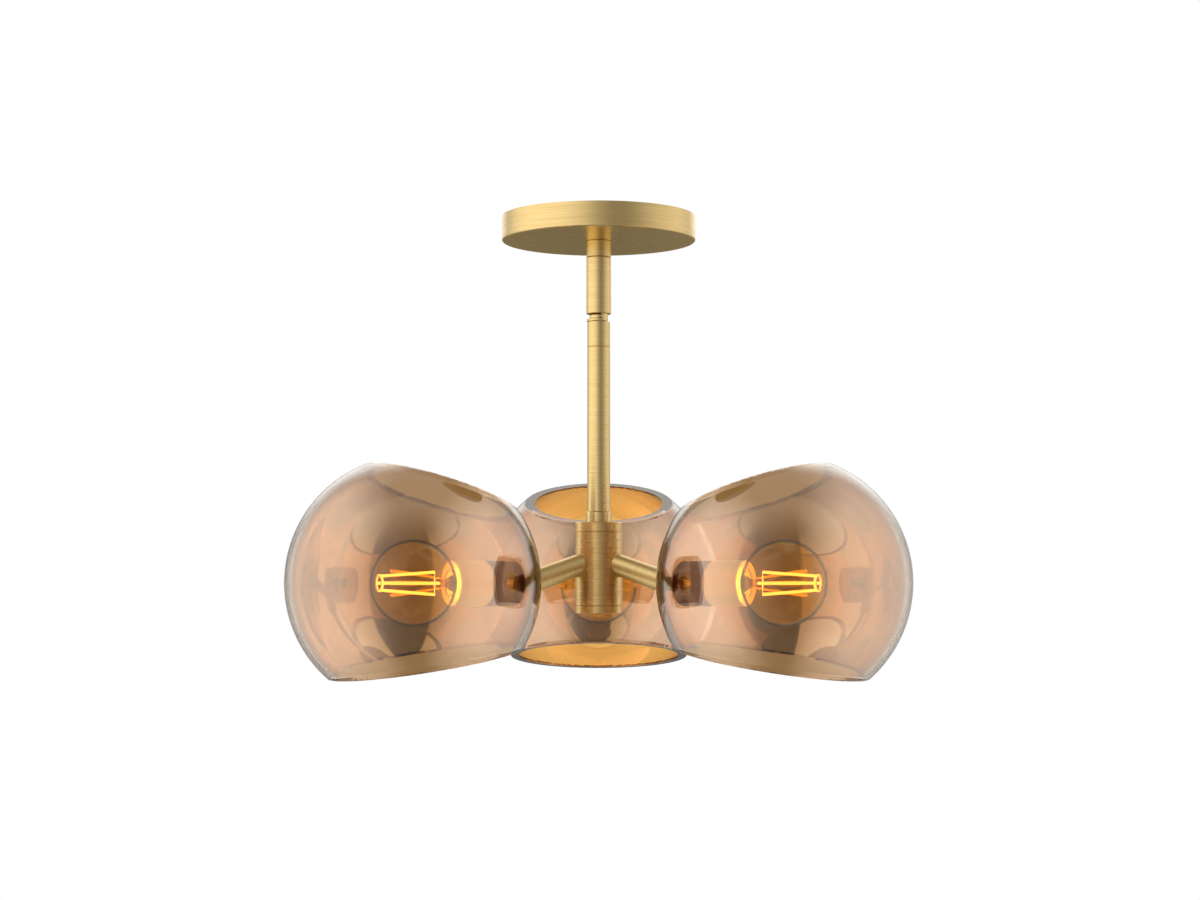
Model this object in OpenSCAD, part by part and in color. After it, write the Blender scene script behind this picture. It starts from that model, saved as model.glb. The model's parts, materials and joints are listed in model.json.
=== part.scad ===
// Three-light semi-flush ceiling fixture: a round canopy, a short stem with a
// hang-straight swivel, a hub, and three arms that each carry an open glass globe.
// Millimetres. The origin is the canopy's centre in the ceiling plane, +Z is up.

/* [Canopy] */
// Outer diameter of the canopy
canopy_d = 120; // [114:1:140]
// Height of the canopy below the ceiling
canopy_h = 15; // [13:0.5:20]
// Thickness of the spun canopy wall
canopy_wall = 1.2; // [0.8:0.1:1.6]
// Chamfer round the canopy's lower edge
canopy_chamfer = 0.5; // [0.2:0.1:1]

/* [Mounting bar] */
// Room between each end of the bar and the canopy's wall
bar_end_room = 5.8; // [4:0.1:8]
// Width of the mounting bar
bar_w = 20; // [16:1:26]
// Thickness of the mounting bar
bar_t = 1.6; // [1.2:0.1:2.5]
// Distance between the outlet box screws
box_screw_spacing = 88.9; // [86:0.1:90]
// End-to-end length of each screw slot
box_slot_l = 10; // [6:0.5:11]
// Width of each screw slot
box_slot_w = 4.6; // [4:0.1:5.2]
// Distance of the ground screw from the bar's centre
ground_x = 22; // [16:1:30]
// Thread diameter of the ground screw
ground_d = 4; // [3:0.5:5]
// Head diameter of the ground screw
ground_head_d = 8; // [6:0.5:9]
// Head height of the ground screw
ground_head_h = 2.4; // [1.5:0.1:3.5]
// Length of the ground screw's thread
ground_l = 6; // [4:0.5:8]

/* [Threaded tubes and nuts] */
// Outer diameter of the threaded tubes on the stem's axis
nipple_d = 9.6; // [9:0.1:10]
// Wire bore of the threaded tubes on the stem's axis
nipple_bore_d = 6.6; // [5:0.1:7]
// Height that the canopy's threaded tube stands above the mounting bar
nipple_proud = 3; // [0:0.5:6]
// Width across flats of the nuts on the stem's axis
nut_af = 14; // [13:0.5:17]
// Height of the nuts
nut_h = 3; // [2:0.5:4]
// Outer diameter of the round nut inside the swivel sleeve
sleeve_nut_d = 12.3; // [12:0.1:12.6]

/* [Stem] */
// Diameter of the collar under the canopy
collar_d = 15.3; // [15:0.1:18]
// Height of the collar under the canopy
collar_h = 10; // [6:0.5:14]
// Diameter of the swivel sleeve
sleeve_d = 15.5; // [15.4:0.1:17]
// Height of the swivel sleeve
sleeve_h = 34.9; // [32:0.1:45]
// Wall thickness of the swivel sleeve
sleeve_wall = 1.3; // [1:0.1:1.4]
// Thickness of the swivel sleeve's top plate
sleeve_top_t = 3; // [2:0.5:5]
// Height of the open gap at the swivel
swivel_gap_h = 4.8; // [4.6:0.1:5.6]
// Height of the coupling below the swivel
coupling_h = 15.7; // [15:0.1:20]
// Diameter of the stem and of its coupling
stem_d = 14.2; // [14:0.1:14.6]
// Wall thickness of the coupling
coupling_wall = 0.9; // [0.7:0.1:0.9]
// Wall thickness of the stem tube
stem_wall = 1.2; // [0.8:0.1:1.4]
// Length of the stem tube
stem_h = 102.3; // [60:0.1:400]

/* [Swivel] */
// Radius of the swivel's ball
ball_r = 5.9; // [5.5:0.1:5.9]
// Offset of the ball's parting plane from the stem's axis
split_x = 1; // [-1:0.1:1.5]
// Gap between the two halves of the ball
split_gap = 0.6; // [0.4:0.1:1]
// Diameter of the pivot pin
pivot_d = 2.5; // [2:0.1:3]
// Diameter of the shoulder under the ball
shoulder_d = 14.8; // [14:0.1:14.8]
// Height of the shoulder under the ball
shoulder_h = 1.8; // [1:0.1:1.8]
// Distance that the shoulder reaches past the stem's axis
shoulder_x = 2.4; // [1.8:0.1:4]
// Height of the plugs that carry the two halves of the ball
knuckle_plug_h = 7; // [5:0.5:7.5]

/* [Hub] */
// Diameter of the collar on top of the hub
hub_collar_d = 15.8; // [14.5:0.1:20]
// Height of the collar on top of the hub
hub_collar_h = 6.6; // [4:0.1:10]
// Diameter of the hub
hub_d = 29.4; // [28:0.1:34]
// Height of the hub's top cap
hub_cap_h = 6.1; // [3:0.1:8]
// Height of the hub's body
hub_body_h = 45.6; // [43:0.1:60]
// Height of the hub's bottom cap
hub_base_h = 4.7; // [3:0.1:8]
// Wall thickness of the hub's body
hub_wall = 2; // [1.5:0.1:2.5]
// Height of the spigots on the hub's caps
spigot_h = 3; // [2:0.5:3.5]

/* [Arms] */
// Angle that the arms slope down from level
arm_tilt = 17.5; // [12:0.5:20]
// Diameter of the arms
arm_d = 13.5; // [13:0.1:14]
// Wall thickness of the arms
arm_wall = 1; // [0.8:0.1:1.2]
// Depth below the hub's top at which the arms' axes cross
arm_drop = 22.1; // [21:0.1:26]
// Length of the threaded plug in each arm's end
arm_plug_l = 5; // [4:0.5:5]
// Distance that each arm reaches into the hub's bore
arm_inset = 1.5; // [1:0.1:2.5]
// Level distance from the stem's axis to the near pole of each shade
arm_reach = 51; // [49:0.5:64]

/* [Glass shades] */
// Outer diameter of the glass globes
shade_d = 152; // [148:1:156]
// Thickness of the glass
shade_wall = 4; // [2.5:0.1:4.5]
// Distance from a globe's centre to the plane of its top opening
top_cut = 58; // [54:0.5:64]
// Angle that the top opening leans towards the stem
top_tilt = 18.4; // [0:0.1:22]
// Distance from a globe's centre to the plane of its bottom opening
bottom_cut = 48; // [44:0.5:56]
// Angle that the bottom opening leans towards the stem
bottom_tilt = 9.8; // [0:0.1:14]
// Diameter of the hole at the globe's pole
shade_hole_d = 9.5; // [9:0.1:11]
// Thickness of the gasket outside the glass
outer_gasket_t = 0.8; // [0.5:0.1:1.5]
// Thickness of the gasket inside the glass
inner_gasket_t = 2; // [1.6:0.1:3]
// Diameter of the gasket inside the glass
inner_gasket_d = 24; // [18:0.5:25]

/* [Sockets] */
// Thread diameter of the tubes that carry the sockets
socket_nipple_d = 7.9; // [7.5:0.1:8.1]
// Wire bore of the tubes that carry the sockets
socket_nipple_bore_d = 5.2; // [4:0.1:5.6]
// Width across flats of the nuts inside the socket cups
cup_nut_af = 12; // [11:0.5:16]
// Diameter of the socket cups
cup_d = 27.8; // [27:0.1:32]
// Wall thickness of the socket cups
cup_wall = 1; // [0.8:0.1:1.5]
// Opening of the socket cup's front lip
cup_mouth_d = 17.6; // [17.4:0.1:20]
// Edge chamfer of the socket cups
cup_chamfer = 0.5; // [0.2:0.1:0.8]
// Length of the cup along its axis
cup_l = 45.2; // [44:0.1:45.4]
// Distance from the cup's mouth out to the middle of the bulb's globe
bulb_reach = 24.8; // [24.6:0.1:26]
// Outer diameter of the lampholder
holder_d = 22; // [18:0.5:24]
// Length of the lampholder's body
holder_l = 29.5; // [25:0.5:32]
// Gap between the cup's front lip and the lampholder
holder_gap = 0.5; // [0.3:0.1:1]
// Diameter of the lampholder's front recess, which clears the bulb's neck
holder_mouth_d = 16; // [15.6:0.1:17]
// Diameter of the lampholder's rear boss
holder_boss_d = 13; // [11:0.5:16]
// Length of the lampholder's rear boss
holder_boss_l = 4; // [3:0.5:4.5]
// Inner diameter of the lampholder's screw shell
shell_d = 12.4; // [12.2:0.1:12.8]
// Thickness of the brass in the lampholder
shell_t = 0.6; // [0.4:0.1:0.9]
// Length of the lampholder's screw shell
shell_l = 15; // [12:0.5:16]
// Width of the lampholder's spring contact
contact_w = 4; // [3:0.5:5]

/* [Bulbs] */
// Diameter of the bulb's globe
globe_d = 51.5; // [48:0.5:52]
// Thickness of the bulb's glass
globe_wall = 0.8; // [0.6:0.1:1]
// Radius of the bulb's neck
neck_r = 7; // [6.6:0.1:7.2]
// Radius of the fillet between the bulb's globe and neck
neck_fillet = 4; // [3:0.5:4]
// Crest diameter of the bulb's screw base
base_d = 11.7; // [11:0.1:11.9]
// Length of the bulb's screw base
base_l = 12.5; // [11:0.1:13]
// Depth of the thread on the bulb's screw base
thread_depth = 0.6; // [0.4:0.1:0.8]
// Pitch of the thread on the bulb's screw base
thread_pitch = 2.54; // [2:0.01:2.8]
// Length of the black insulator behind the screw base
insulator_l = 3; // [2:0.1:3.5]
// Length of the contact behind the insulator
tip_l = 1.4; // [1:0.1:2]
// Diameter of the contact behind the insulator
tip_d = 4; // [3:0.1:5]
// Diameter of each filament
filament_d = 1.7; // [1.2:0.1:2.2]
// Distance from the bulb's centre to the filaments' outer ends
filament_front = 22; // [18:0.1:22.5]
// Distance from the bulb's centre to the filaments' inner ends
filament_back = 14; // [10:0.1:14.5]
// Radius of the filaments' outer ends round the bulb's axis
filament_front_r = 4.1; // [3:0.1:5]
// Radius of the filaments' inner ends round the bulb's axis
filament_back_r = 6.7; // [5:0.1:8]
// Diameter of the wires that hold the filaments
lead_d = 0.6; // [0.4:0.1:0.8]
// Length of the glass mount's pinch
pinch_l = 7; // [5:0.5:8]
// Width of the glass mount's pinch
pinch_w = 5; // [4:0.1:6]
// Thickness of the glass mount's pinch
pinch_t = 2; // [1.5:0.1:2.5]

/* [Hidden] */

$fn = 96;
// Facets of the large arcs that thin gaskets are cut to
fine_fn = 720;

// Directions of the three arms round the stem
left_angle = 210;
right_angle = 330;
back_angle = 90;
arms = [left_angle, right_angle, back_angle];

// Clearances: threads, seats within one body, running fits, turning faces, free space
thread_clearance = 0.1;
seat_clearance = 0.05;
running_clearance = 0.05;
turn_gap = 0.3;
free_gap = 0.3;
// Overrun of every cut
over = 1;
// Chamfer that shows as a fine line at each turned joint
seam_chamfer = 0.3;

// Levels down the stem
canopy_z = -canopy_h;
collar_bottom_z = canopy_z - collar_h;
sleeve_top_z = collar_bottom_z - turn_gap;
sleeve_bottom_z = sleeve_top_z - sleeve_h;
pivot_z = sleeve_bottom_z - swivel_gap_h / 2;
coupling_top_z = sleeve_bottom_z - swivel_gap_h;
coupling_bottom_z = coupling_top_z - coupling_h;
stem_bottom_z = coupling_bottom_z - stem_h;
hub_top_z = stem_bottom_z - hub_collar_h;
hub_body_top_z = hub_top_z - hub_cap_h;
hub_body_bottom_z = hub_body_top_z - hub_body_h;
arm_root_z = hub_top_z - arm_drop;

bar_l = canopy_d - 2 * canopy_wall - 2 * bar_end_room;
nipple_hole_d = nipple_d + 2 * thread_clearance;
sleeve_bore_d = sleeve_d - 2 * sleeve_wall;
coupling_bore_d = stem_d - 2 * coupling_wall;
stem_bore_d = stem_d - 2 * stem_wall;
hub_bore_d = hub_d - 2 * hub_wall;
arm_bore_d = arm_d - 2 * arm_wall;
sleeve_nut_top_z = sleeve_top_z - sleeve_top_t - turn_gap;

// Depth from the pivot to the plug that carries each half of the ball
plug_drop = ball_r + 2 * free_gap;

// Lengths of the threaded tubes inside the stem
joiner_grip = 4;
insert_h = 10;
hub_nipple_grip = 8;
hub_nipple_tail = 0.8;

// Places along a shade's axis, measured outwards from the globe's centre
shade_r = shade_d / 2;
shade_inner_r = shade_r - shade_wall;
shade_reach = arm_reach + shade_r;
shade_z = arm_root_z - arm_reach * tan(arm_tilt);
arm_end = -shade_r - outer_gasket_t;
cup_back = -shade_inner_r + inner_gasket_t;
cup_front = cup_back + cup_l;
cup_nut_back = cup_back + cup_wall;
bulb_place = cup_front + bulb_reach;
holder_front = cup_front - cup_wall - holder_gap;
holder_back = holder_front - holder_l;
socket_nipple_end = holder_back - holder_boss_l / 2;
socket_nipple_hole_d = socket_nipple_d + 2 * thread_clearance;

// Places along a bulb's axis, measured outwards from the bulb's centre
globe_r = globe_d / 2;
fillet_r = neck_r + neck_fillet;
fillet_z = -sqrt(pow(globe_r + neck_fillet, 2) - pow(fillet_r, 2));
fillet_touch_share = globe_r / (globe_r + neck_fillet);
base_front = bulb_place + fillet_z - seat_clearance;
base_back = base_front - base_l;
insulator_back = base_back - turn_gap - insulator_l;
tip_back = insulator_back - tip_l;
shell_front = base_front - free_gap;
holder_floor = tip_back - free_gap - 2 * shell_t;
thread_turns = 4;
thread_start = 1.2;
mount_neck_r = 2.4;
pinch_back = -filament_back - lead_d - pinch_l;
ring_front = filament_front + lead_d;

brass = "#d3b27c";
steel = "#b9bcc0";
green = "#3f7a4a";
copper_glass = [0.80, 0.55, 0.40, 0.55];
clear_glass = [0.93, 0.90, 0.85, 0.30];
silicone = [0.85, 0.83, 0.80, 0.60];
porcelain = "#efe9dd";
amber = "#ffc04a";
black = "#1d1c1b";

// A turned ring with its outer edges chamfered and its top at top_z
module turned(top_z, h, od, id = 0) {
    rotate_extrude()
        polygon([
            [id / 2, top_z - h],
            [od / 2 - seam_chamfer, top_z - h],
            [od / 2, top_z - h + seam_chamfer],
            [od / 2, top_z - seam_chamfer],
            [od / 2 - seam_chamfer, top_z],
            [id / 2, top_z]]);
}

// A plain ring between two heights
module ring(low, high, od, id = 0) {
    rotate_extrude()
        polygon([[id / 2, low], [od / 2, low], [od / 2, high], [id / 2, high]]);
}

module hex_nut(top_z, h, af, id) {
    translate([0, 0, top_z - h])
        difference() {
            cylinder(d = af / cos(30), h = h, $fn = 6);
            translate([0, 0, -over]) cylinder(d = id, h = h + 2 * over);
        }
}

// A straight round rod from point a to point b
module rod(a, b, d) {
    step = b - a;
    length = norm(step);
    translate(a)
        rotate([0, acos(step[2] / length), atan2(step[1], step[0])])
            cylinder(d = d, h = length);
}

// Puts a shade's own frame in place: x outwards, origin at the globe's centre
module at_shade(direction) {
    rotate([0, 0, direction]) translate([shade_reach, 0, shade_z]) children();
}

// Turns a piece that is drawn along z onto a shade's outward axis
module on_socket(direction) {
    at_shade(direction) rotate([0, 90, 0]) children();
}

// Places a piece on the bulb's own centre
module on_bulb(direction) {
    on_socket(direction) translate([0, 0, bulb_place]) children();
}

// Canopy and what holds it

module canopy() {
    r = canopy_d / 2;
    color(brass)
        rotate_extrude()
            polygon([
                [nipple_hole_d / 2, canopy_z],
                [r - canopy_chamfer, canopy_z],
                [r, canopy_z + canopy_chamfer],
                [r, 0],
                [r - canopy_wall, 0],
                [r - canopy_wall, canopy_z + canopy_wall],
                [nipple_hole_d / 2, canopy_z + canopy_wall]]);
}

module slot(l, w, h) {
    cube([l - w, w, h], center = true);
    for (side = [-1, 1])
        translate([side * (l - w) / 2, 0, 0]) cylinder(d = w, h = h, center = true);
}

module mounting_bar() {
    color(steel)
        difference() {
            intersection() {
                translate([0, 0, -bar_t / 2]) cube([bar_l, bar_w, bar_t], center = true);
                translate([0, 0, -bar_t - over]) cylinder(d = bar_l, h = bar_t + 2 * over);
            }
            for (side = [-1, 1])
                translate([side * box_screw_spacing / 2, 0, -bar_t / 2])
                    slot(box_slot_l, box_slot_w, bar_t + 2 * over);
            translate([0, 0, -bar_t - over])
                cylinder(d = nipple_hole_d, h = bar_t + 2 * over);
            translate([ground_x, 0, -bar_t - over])
                cylinder(d = ground_d + 2 * thread_clearance, h = bar_t + 2 * over);
        }
}

module bar_nut() {
    color(steel) hex_nut(-bar_t, nut_h, nut_af, nipple_hole_d);
}

module ground_screw() {
    slot_w = ground_d / 4;
    color(green)
        translate([ground_x, 0, -bar_t])
            difference() {
                union() {
                    cylinder(d = ground_d, h = ground_l);
                    translate([0, 0, -ground_head_h])
                        cylinder(d = ground_head_d, h = ground_head_h);
                }
                translate([0, 0, -ground_head_h])
                    cube([ground_head_d + over, slot_w, ground_head_h], center = true);
            }
}

module canopy_nipple() {
    color(steel)
        ring(sleeve_nut_top_z - nut_h, nipple_proud, nipple_d, nipple_bore_d);
}

module canopy_collar() {
    color(brass) turned(canopy_z, collar_h, collar_d, nipple_hole_d);
}

module sleeve_nut() {
    color(steel) turned(sleeve_nut_top_z, nut_h, sleeve_nut_d, nipple_hole_d);
}

// Hang-straight swivel

module swivel_sleeve() {
    plate_z = sleeve_top_z - sleeve_top_t;
    color(brass)
        difference() {
            turned(sleeve_top_z, sleeve_h, sleeve_d);
            translate([0, 0, plate_z - over])
                cylinder(d = nipple_d + 2 * running_clearance, h = sleeve_top_t + 2 * over);
            translate([0, 0, sleeve_bottom_z - over])
                cylinder(d = sleeve_bore_d, h = plate_z - sleeve_bottom_z + over);
        }
}

// One half of the ball joint before it is split, with its pivot at the origin: the
// ball, its neck and the plug that is pressed into the tube below
module knuckle(plug_d) {
    rotate_extrude() {
        intersection() {
            circle(r = ball_r);
            square(ball_r);
        }
        translate([0, -plug_drop]) square([ball_r, plug_drop]);
        translate([0, -plug_drop - knuckle_plug_h])
            square([plug_d / 2 - seat_clearance, knuckle_plug_h]);
    }
}

module pivot_hole(clearance) {
    rotate([0, 90, 0])
        cylinder(d = pivot_d + 2 * clearance, h = stem_d, center = true);
}

module upper_knuckle() {
    color(brass)
        translate([0, 0, pivot_z])
            mirror([0, 0, 1])
                difference() {
                    knuckle(sleeve_bore_d);
                    translate([split_x + split_gap / 2 - stem_d, -stem_d / 2, -plug_drop])
                        cube([stem_d, stem_d, plug_drop + stem_d]);
                    pivot_hole(seat_clearance);
                    translate([0, 0, -plug_drop - knuckle_plug_h - over])
                        cylinder(d = nipple_bore_d, h = knuckle_plug_h / 2 + over);
                }
}

module pivot_pin() {
    reach = sqrt(pow(ball_r, 2) - pow(pivot_d / 2, 2)) - free_gap;
    color(steel)
        translate([0, 0, pivot_z])
            rotate([0, 90, 0]) cylinder(d = pivot_d, h = 2 * reach, center = true);
}

// Stem

module lower_knuckle() {
    shoulder_low = -swivel_gap_h / 2;
    split = split_x - split_gap / 2;
    color(brass)
        translate([0, 0, pivot_z])
            difference() {
                union() {
                    knuckle(coupling_bore_d);
                    turned(shoulder_low + shoulder_h, shoulder_h, shoulder_d);
                }
                intersection() {
                    translate([0, 0, -plug_drop])
                        cylinder(r = ball_r + free_gap, h = plug_drop + stem_d);
                    translate([split, -stem_d / 2, -plug_drop - over])
                        cube([stem_d, stem_d, plug_drop + stem_d]);
                }
                translate([shoulder_x, -stem_d, -plug_drop])
                    cube([stem_d, 2 * stem_d, plug_drop + stem_d]);
                pivot_hole(running_clearance);
                translate([0, 0, -plug_drop - knuckle_plug_h - over])
                    cylinder(d = nipple_hole_d, h = joiner_grip + over);
            }
}

module stem_coupling() {
    color(brass) turned(coupling_top_z, coupling_h, stem_d, coupling_bore_d);
}

module stem_joiner() {
    plug_bottom_z = pivot_z - plug_drop - knuckle_plug_h;
    color(steel)
        ring(coupling_bottom_z - insert_h + over, plug_bottom_z + joiner_grip - seat_clearance,
             nipple_d, nipple_bore_d);
}

module stem_inserts() {
    insert_d = stem_bore_d - 2 * seat_clearance;
    color(steel) {
        ring(coupling_bottom_z - insert_h, coupling_bottom_z, insert_d, nipple_hole_d);
        ring(stem_bottom_z, stem_bottom_z + insert_h, insert_d, nipple_hole_d);
    }
}

module stem_tube() {
    color(brass) turned(coupling_bottom_z, stem_h, stem_d, stem_bore_d);
}

// Hub

module hub_collar() {
    color(brass) turned(stem_bottom_z, hub_collar_h, hub_collar_d, nipple_hole_d);
}

module hub_top_cap() {
    color(brass)
        difference() {
            union() {
                turned(hub_top_z, hub_cap_h, hub_d);
                ring(hub_body_top_z - spigot_h, hub_body_top_z, hub_bore_d - 2 * seat_clearance);
            }
            translate([0, 0, hub_body_top_z - spigot_h - over])
                cylinder(d = nipple_hole_d, h = spigot_h + hub_cap_h + 2 * over);
        }
}

// The straight line of an arm, drawn as a solid round bar from the stem's axis
module arm_bar(direction, d) {
    rotate([0, 0, direction])
        translate([0, 0, arm_root_z])
            rotate([0, 90 + arm_tilt, 0]) cylinder(d = d, h = shade_reach);
}

module hub_body() {
    color(brass)
        difference() {
            turned(hub_body_top_z, hub_body_h, hub_d, hub_bore_d);
            for (direction = arms) arm_bar(direction, arm_d + 2 * seat_clearance);
        }
}

module hub_bottom_cap() {
    color(brass) {
        turned(hub_body_bottom_z, hub_base_h, hub_d);
        ring(hub_body_bottom_z, hub_body_bottom_z + spigot_h, hub_bore_d - 2 * seat_clearance);
    }
}

module hub_nipple() {
    low = hub_body_top_z - spigot_h - nut_h - hub_nipple_tail;
    color(steel) ring(low, stem_bottom_z + hub_nipple_grip, nipple_d, nipple_bore_d);
}

module hub_nut() {
    color(steel) hex_nut(hub_body_top_z - spigot_h, nut_h, nut_af, nipple_hole_d);
}

// Arms

// The slice of a shade's own frame between two places on its axis
module slice(direction, low, high) {
    at_shade(direction)
        translate([low, -shade_r, -shade_r]) cube([high - low, shade_d, shade_d]);
}

module arm(direction) {
    color(brass)
        difference() {
            arm_bar(direction, arm_d);
            arm_bar(direction, arm_bore_d);
            translate([0, 0, arm_root_z - hub_d])
                cylinder(d = hub_bore_d - 2 * arm_inset, h = 2 * hub_d);
            slice(direction, arm_end, shade_r);
        }
}

module arm_plugs() {
    color(steel)
        for (direction = arms)
            difference() {
                intersection() {
                    arm_bar(direction, arm_bore_d - 2 * seat_clearance);
                    slice(direction, arm_end - arm_plug_l, arm_end);
                }
                on_socket(direction)
                    translate([0, 0, arm_end - arm_plug_l - over])
                        cylinder(d = socket_nipple_hole_d, h = arm_plug_l + 2 * over);
            }
}

// Glass shades

module shade(direction) {
    color(copper_glass)
        at_shade(direction)
            difference() {
                sphere(d = shade_d);
                sphere(d = shade_d - 2 * shade_wall);
                rotate([0, -top_tilt, 0])
                    translate([0, 0, top_cut + shade_r]) cube(shade_d, center = true);
                rotate([0, bottom_tilt, 0])
                    translate([0, 0, -bottom_cut - shade_r]) cube(shade_d, center = true);
                rotate([0, -90, 0]) cylinder(d = shade_hole_d, h = shade_r + over);
            }
}

module outer_gaskets() {
    bore_r = shade_hole_d / 2;
    color(silicone)
        for (direction = arms)
            on_socket(direction)
                rotate_extrude()
                    difference() {
                        translate([bore_r, arm_end])
                            square([arm_d / 2 - seat_clearance - bore_r, outer_gasket_t + over]);
                        circle(r = shade_r + seat_clearance, $fn = fine_fn);
                    }
}

module inner_gaskets() {
    bore_r = shade_hole_d / 2;
    color(silicone)
        for (direction = arms)
            on_socket(direction)
                rotate_extrude()
                    intersection() {
                        translate([bore_r, -shade_inner_r])
                            square([inner_gasket_d / 2 - bore_r, inner_gasket_t]);
                        circle(r = shade_inner_r - seat_clearance, $fn = fine_fn);
                    }
}

// Sockets

module socket_nipples() {
    color(steel)
        for (direction = arms)
            on_socket(direction)
                ring(arm_end - arm_plug_l, socket_nipple_end,
                     socket_nipple_d, socket_nipple_bore_d);
}

module cup_nuts() {
    color(steel)
        for (direction = arms)
            on_socket(direction)
                hex_nut(cup_nut_back + nut_h, nut_h, cup_nut_af, socket_nipple_hole_d);
}

module socket_cup(direction) {
    r = cup_d / 2;
    front = cup_front;
    color(brass)
        on_socket(direction)
            rotate_extrude()
                polygon([
                    [socket_nipple_hole_d / 2, cup_back],
                    [r - cup_chamfer, cup_back],
                    [r, cup_back + cup_chamfer],
                    [r, front - cup_chamfer],
                    [r - cup_chamfer, front],
                    [cup_mouth_d / 2, front],
                    [cup_mouth_d / 2, front - cup_wall],
                    [r - cup_wall, front - cup_wall],
                    [r - cup_wall, cup_nut_back],
                    [socket_nipple_hole_d / 2, cup_nut_back]]);
}

module lampholder(direction) {
    shell_hole_r = shell_d / 2 + shell_t + seat_clearance;
    mouth_r = holder_mouth_d / 2;
    boss_back = holder_back - holder_boss_l;
    color(porcelain)
        on_socket(direction)
            rotate_extrude()
                polygon([
                    [mouth_r, holder_front],
                    [mouth_r, shell_front],
                    [shell_hole_r, shell_front],
                    [shell_hole_r, holder_floor],
                    [0, holder_floor],
                    [0, socket_nipple_end],
                    [socket_nipple_hole_d / 2, socket_nipple_end],
                    [socket_nipple_hole_d / 2, boss_back],
                    [holder_boss_d / 2, boss_back],
                    [holder_boss_d / 2, holder_back],
                    [holder_d / 2, holder_back],
                    [holder_d / 2, holder_front - shell_t],
                    [holder_d / 2 - shell_t, holder_front]]);
}

module screw_shells() {
    color(brass)
        for (direction = arms)
            on_socket(direction)
                ring(shell_front - shell_l, shell_front, shell_d + 2 * shell_t, shell_d);
}

// A bent strip: its foot on the lampholder's floor, its raised end under the bulb's tip
module spring_contacts() {
    foot = shell_d / 2;
    knee = tip_d / 2;
    color(brass)
        for (direction = arms)
            on_socket(direction)
                translate([0, contact_w / 2, holder_floor])
                    rotate([90, 0, 0])
                        linear_extrude(height = contact_w)
                            polygon([
                                [-foot, 0], [-knee, 0],
                                [0, shell_t], [knee, shell_t],
                                [knee, 2 * shell_t], [-shell_t, 2 * shell_t],
                                [-knee - shell_t, shell_t], [-foot, shell_t]]);
}

// Bulbs

// Half section of the bulb's glass, drawn in by inset from its outer surface
module bulb_section(inset) {
    touch_r = fillet_r * fillet_touch_share;
    touch_z = fillet_z * fillet_touch_share;
    intersection() {
        circle(r = globe_r - inset);
        translate([0, -globe_r]) square([globe_r, globe_d]);
    }
    difference() {
        translate([0, fillet_z]) square([touch_r, touch_z - fillet_z]);
        translate([fillet_r, fillet_z]) circle(r = neck_fillet + inset);
    }
}

module bulb_globe(direction) {
    color(clear_glass)
        on_bulb(direction)
            rotate_extrude()
                difference() {
                    bulb_section(0);
                    bulb_section(globe_wall);
                    translate([0, fillet_z - over])
                        square([neck_r - globe_wall, 2 * over]);
                }
}

module bulb_mount(direction) {
    flare_r = neck_r - globe_wall - seat_clearance;
    color(clear_glass)
        on_bulb(direction) {
            rotate_extrude()
                polygon([
                    [0, fillet_z], [flare_r, fillet_z],
                    [mount_neck_r, pinch_back], [0, pinch_back]]);
            translate([-pinch_w / 2, -pinch_t / 2, pinch_back - over])
                cube([pinch_w, pinch_t, pinch_l + over]);
        }
}

module bulb_leads(direction) {
    pinch_z = pinch_back + pinch_l + seat_clearance;
    color(steel)
        on_bulb(direction) {
            for (turn = [0:90:270])
                rotate([0, 0, turn])
                    rod([lead_d, 0, pinch_z + lead_d / 2],
                        [filament_back_r, 0, -filament_back - seat_clearance - lead_d / 2],
                        lead_d);
            translate([0, 0, ring_front])
                rotate_extrude() translate([filament_front_r, 0]) circle(d = lead_d);
        }
}

module filaments(direction) {
    color(amber)
        on_bulb(direction)
            for (turn = [0:90:270])
                rotate([0, 0, turn])
                    rod([filament_back_r, 0, -filament_back],
                        [filament_front_r, 0, filament_front], filament_d);
}

// Outline of the screw base: one rounded ridge for each turn of its thread
module bulb_base(direction) {
    crest = base_d / 2;
    root = crest - thread_depth;
    ridges = [for (i = [0:thread_turns - 1])
        each let (z = base_front - thread_start - i * thread_pitch) [
            [root, z],
            [crest, z - thread_pitch / 4],
            [crest, z - thread_pitch / 2],
            [root, z - 3 * thread_pitch / 4]]];
    color(steel)
        on_socket(direction)
            rotate_extrude()
                polygon(concat(
                    [[0, base_front], [crest, base_front]],
                    ridges,
                    [[root, base_back], [0, base_back]]));
}

// The black glass insulator and the soldered contact at the end of a bulb
module bulb_eyelet(direction) {
    root = base_d / 2 - thread_depth;
    insulator_front = base_back - turn_gap;
    color(black)
        on_socket(direction)
            rotate_extrude()
                polygon([
                    [0, insulator_front], [root, insulator_front],
                    [tip_d / 2, insulator_back], [tip_d / 2, tip_back + tip_l / 2],
                    [tip_d / 4, tip_back], [0, tip_back]]);
}

canopy();
mounting_bar();
bar_nut();
ground_screw();
canopy_nipple();
canopy_collar();
sleeve_nut();
swivel_sleeve();
upper_knuckle();
pivot_pin();
lower_knuckle();
stem_coupling();
stem_joiner();
stem_inserts();
stem_tube();
hub_collar();
hub_top_cap();
hub_body();
hub_bottom_cap();
hub_nipple();
hub_nut();
arm(left_angle);  // arm_left
arm(right_angle);  // arm_right
arm(back_angle);  // arm_back
arm_plugs();
shade(left_angle);  // shade_left
shade(right_angle);  // shade_right
shade(back_angle);  // shade_back
outer_gaskets();
inner_gaskets();
socket_nipples();
cup_nuts();
socket_cup(left_angle);  // socket_cup_left
socket_cup(right_angle);  // socket_cup_right
socket_cup(back_angle);  // socket_cup_back
lampholder(left_angle);  // lampholder_left
lampholder(right_angle);  // lampholder_right
lampholder(back_angle);  // lampholder_back
screw_shells();
spring_contacts();
bulb_globe(left_angle);  // bulb_globe_left
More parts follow.
